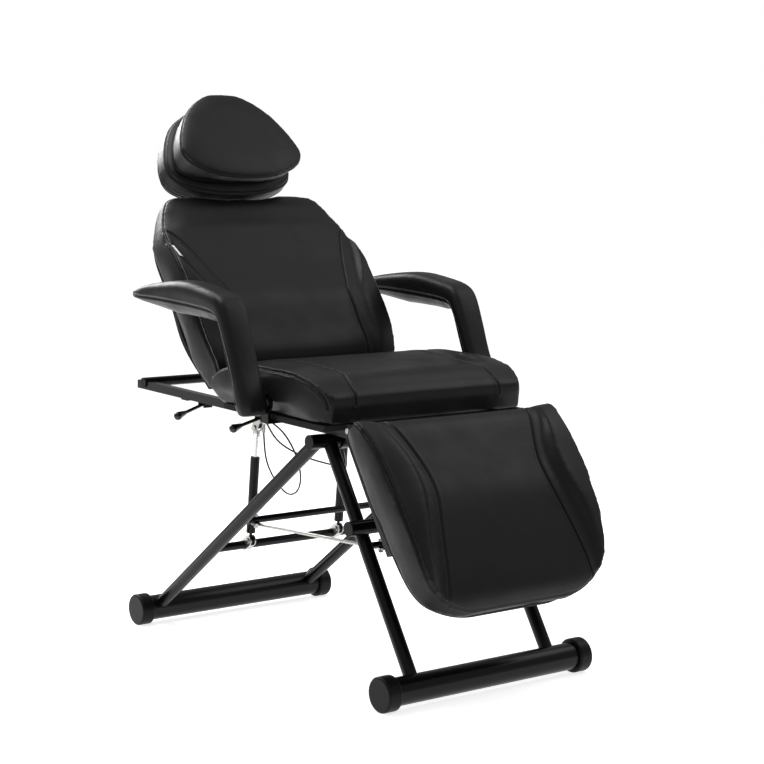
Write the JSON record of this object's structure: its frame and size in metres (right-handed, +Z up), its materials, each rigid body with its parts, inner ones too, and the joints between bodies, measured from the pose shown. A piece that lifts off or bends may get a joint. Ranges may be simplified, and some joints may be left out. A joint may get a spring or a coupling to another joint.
{
  "type": "tattoo chair",
  "caption": "Reclining treatment chair on a steel A-frame: tilting seat, backrest linked to a leg rest, sliding headrest with pillow, swing-back armrests.",
  "frame": {"origin": "on the floor, under the middle of the chair's overall box in the sitting position", "axes": "+Z up, the chair faces -Y, +X is the sitter's left"},
  "size_m": [0.7364, 1.2578, 1.2931],
  "materials": {
    "black_powder_coat": "gloss black powder coat",
    "black_plastic": "moulded, satin",
    "black_knob": "moulded, glossy",
    "zinc_steel": "zinc plated",
    "chrome_rod": "polished",
    "black_upholstery": "satin artificial leather",
    "plywood": "black-stained, felt covered",
    "cable_sheath": "satin"
  },
  "bodies": {
    "base": {"front_foot_tube": "black_powder_coat", "rear_foot_tube": "black_powder_coat", "foot_caps": "black_plastic", "apex_tube": "black_powder_coat", "front_stretcher": "black_powder_coat", "tube_plugs": "black_plastic", "front_legs": "black_powder_coat", "rear_legs": "black_powder_coat", "front_tie_bar": "black_powder_coat", "upper_crossbar": "black_powder_coat", "lower_crossbar": "black_powder_coat", "tie_rods": "zinc_steel", "tie_rod_bolts": "zinc_steel", "lower_spring_brackets": "zinc_steel", "lower_spring_pins": "zinc_steel"},
    "seat_frame": {"seat_rails": "black_powder_coat", "rear_cross_tube": "black_powder_coat", "frame_plugs": "black_plastic", "seat_cross_tubes": "black_powder_coat", "pivot_sleeves": "black_powder_coat", "upper_spring_forks": "zinc_steel", "upper_spring_bolts": "zinc_steel", "pivot_ears": "black_powder_coat", "pivot_pins": "zinc_steel", "seat_board": "plywood", "seat_cushion": "black_upholstery", "back_spring_cylinder": "black_powder_coat", "back_spring_lug": "black_powder_coat", "armrest_brackets": "black_powder_coat", "lever_brackets": "black_powder_coat", "release_cables": "cable_sheath", "cable_ferrules": "zinc_steel"},
    "spring_cylinder_right": {"spring_cylinder_right": "black_powder_coat"},
    "spring_cylinder_left": {"spring_cylinder_left": "black_powder_coat"},
    "spring_rod_right": {"spring_rod_right": "chrome_rod"},
    "spring_rod_left": {"spring_rod_left": "chrome_rod"},
    "backrest": {"back_frame": "black_powder_coat", "back_cranks": "black_powder_coat", "back_board": "plywood", "back_cushion": "black_upholstery", "headrest_guides": "black_plastic", "headrest_knob": "black_knob"},
    "headrest": {"headrest_posts": "black_powder_coat", "headrest_board": "plywood", "headrest_cushion": "black_upholstery", "pillow": "black_upholstery"},
    "leg_rest": {"leg_rest_frame": "black_powder_coat", "leg_rest_crank": "black_powder_coat", "leg_rest_board": "plywood", "leg_rest_cushion": "black_upholstery"},
    "connecting_rod": {"connecting_rod": "black_powder_coat"},
    "back_spring_rod": {"back_spring_rod": "chrome_rod"},
    "armrest_right": {"armrest_pad_right": "black_upholstery", "armrest_core_right": "zinc_steel"},
    "armrest_left": {"armrest_pad_left": "black_upholstery", "armrest_core_left": "zinc_steel"},
    "front_lever": {"front_lever": "zinc_steel", "front_knob": "black_knob"},
    "rear_lever": {"rear_lever": "zinc_steel", "rear_knob": "black_knob"}
  },
  "joints": [
    {"name": "seat_tilt", "type": "hinge", "parent": "base", "child": "seat_frame", "pos_m": [0, -0.20316, 0.522], "axis": [-1, 0, 0], "range_deg": [0, 8]},
    {"name": "spring_swing_right", "type": "hinge", "parent": "base", "child": "spring_cylinder_right", "pos_m": [-0.129, 0.20054, 0.2335], "axis": [-1, 0, 0], "range_deg": [-6, 1]},
    {"name": "spring_slide_right", "type": "slide", "parent": "spring_cylinder_right", "child": "spring_rod_right", "axis": [0, -0.1159, 0.9933], "range_m": [-0.052, 0.001]},
    {"name": "spring_swing_left", "type": "hinge", "parent": "base", "child": "spring_cylinder_left", "pos_m": [0.129, 0.20054, 0.2335], "axis": [-1, 0, 0], "range_deg": [-6, 1]},
    {"name": "spring_slide_left", "type": "slide", "parent": "spring_cylinder_left", "child": "spring_rod_left", "axis": [0, -0.1159, 0.9933], "range_m": [-0.052, 0.001]},
    {"name": "backrest_recline", "type": "hinge", "parent": "seat_frame", "child": "backrest", "pos_m": [0, 0.18682, 0.58201], "axis": [-1, 0, 0], "range_deg": [0, 51.5]},
    {"name": "leg_rest_lift", "type": "hinge", "parent": "seat_frame", "child": "leg_rest", "pos_m": [0, -0.34478, 0.56159], "axis": [-1, 0, 0], "range_deg": [0, 51.5]},
    {"name": "link_turn", "type": "hinge", "parent": "backrest", "child": "connecting_rod", "pos_m": [0.095, 0.21756, 0.50277], "axis": [-1, 0, 0], "range_deg": [-51.5, 0]},
    {"name": "back_spring_slide", "type": "slide", "parent": "seat_frame", "child": "back_spring_rod", "axis": [0, 0.9976, -0.0692], "range_m": [-0.05, 0]},
    {"name": "headrest_slide", "type": "slide", "parent": "backrest", "child": "headrest", "axis": [0, 0.5736, 0.8192], "range_m": [0, 0.08]},
    {"name": "armrest_swing_right", "type": "hinge", "parent": "seat_frame", "child": "armrest_right", "pos_m": [-0.292, -0.11414, 0.60148], "axis": [-1, 0, 0], "range_deg": [0, 78]},
    {"name": "armrest_swing_left", "type": "hinge", "parent": "seat_frame", "child": "armrest_left", "pos_m": [0.292, -0.11414, 0.60148], "axis": [-1, 0, 0], "range_deg": [0, 78]},
    {"name": "front_lever_lift", "type": "hinge", "parent": "seat_frame", "child": "front_lever", "pos_m": [-0.15, 0.11545, 0.53824], "axis": [0, 0.9993, 0.0384], "range_deg": [0, 12], "stiffness_Nm_per_rad": 2, "springref_deg": -5.73},
    {"name": "rear_lever_lift", "type": "hinge", "parent": "seat_frame", "child": "rear_lever", "pos_m": [-0.15, 0.36027, 0.54765], "axis": [0, 0.9993, 0.0384], "range_deg": [0, 12], "stiffness_Nm_per_rad": 2, "springref_deg": -5.73}
  ],
  "couplings": [
    {"joint": "spring_swing_right", "follows": "seat_tilt", "ratio": -0.37529},
    {"joint": "spring_slide_right", "follows": "seat_tilt", "m_per_rad": -0.36006},
    {"joint": "spring_swing_left", "follows": "seat_tilt", "ratio": -0.37529},
    {"joint": "spring_slide_left", "follows": "seat_tilt", "m_per_rad": -0.36006},
    {"joint": "leg_rest_lift", "follows": "backrest_recline", "ratio": 1},
    {"joint": "link_turn", "follows": "backrest_recline", "ratio": -1},
    {"joint": "back_spring_slide", "follows": "backrest_recline", "m_per_rad": -0.0509}
  ]
}
